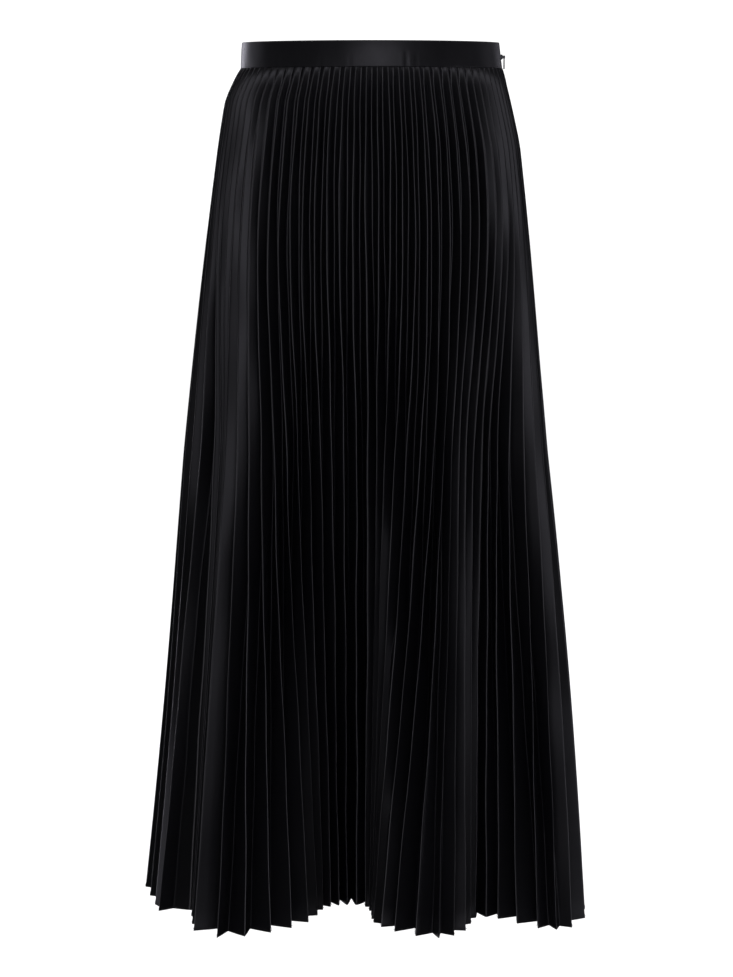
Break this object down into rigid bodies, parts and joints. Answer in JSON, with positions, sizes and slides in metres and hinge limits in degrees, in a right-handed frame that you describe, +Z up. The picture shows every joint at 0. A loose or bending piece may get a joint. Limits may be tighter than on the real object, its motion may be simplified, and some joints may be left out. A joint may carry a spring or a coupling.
{
  "type": "pleated midi skirt",
  "caption": "Sunray-pleated midi skirt with a plain waistband and a hidden side zip, held open at the waist as when worn.",
  "frame": {"origin": "centre of the waist opening, half-way up the waistband at the front", "axes": "+Z up towards the waist, the front of the skirt faces -Y, +X is the wearer's left, where the zip is"},
  "size_m": [0.4603, 0.3002, 0.8857],
  "materials": {
    "waistband": "smooth black satin, softly shining",
    "skirt_front": "black satin, heat-set pleats",
    "skirt_back": "black satin, heat-set pleats",
    "zip_tape_front": "matt black woven tape",
    "zip_tape_back": "matt black woven tape",
    "zip_slider": "black enamel",
    "zip_pull": "black enamel"
  },
  "bodies": {
    "skirt": {"waistband": "waistband", "skirt_front": "skirt_front", "skirt_back": "skirt_back", "zip_tape_front": "zip_tape_front", "zip_tape_back": "zip_tape_back", "zip_slider": "zip_slider"},
    "pull_tab": {"zip_pull": "zip_pull"}
  },
  "joints": [
    {"name": "pull_hinge", "type": "hinge", "parent": "skirt", "child": "pull_tab", "pos_m": [0.1318, 0, -0.0015], "axis": [0, -1, 0], "range_deg": [0, 160]}
  ]
}
